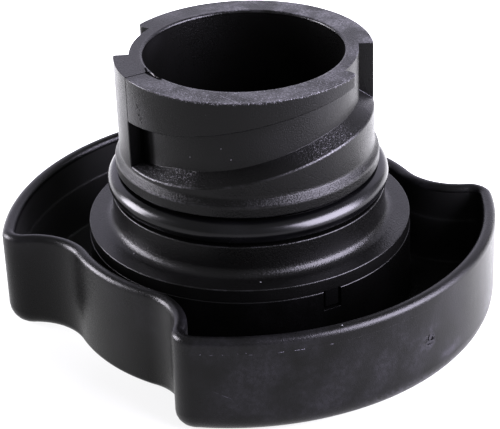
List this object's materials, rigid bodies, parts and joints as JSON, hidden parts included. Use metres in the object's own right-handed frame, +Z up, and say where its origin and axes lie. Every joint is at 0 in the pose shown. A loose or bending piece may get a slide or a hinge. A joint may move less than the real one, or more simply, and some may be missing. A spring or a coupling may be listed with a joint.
{
  "type": "oil filler cap",
  "caption": "Twist-on oil filler cap shown on its head: winged plastic grip shell with a blind bayonet neck, helical tracks and a rubber sealing ring.",
  "frame": {"origin": "centre of the face the cap rests on when it stands on its head, on the neck axis", "axes": "+Z up along the neck, towards the end that goes into the engine; +X through the middle of a grip lobe"},
  "size_m": [0.081, 0.0688, 0.0466],
  "materials": {
    "grip_plastic": "satin moulded black",
    "neck_plastic": "satin moulded black",
    "seal_rubber": "smooth, slightly shiny"
  },
  "bodies": {
    "root": {"grip_shell": "grip_plastic", "bayonet_neck": "neck_plastic", "seal_ring": "seal_rubber"}
  },
  "joints": []
}
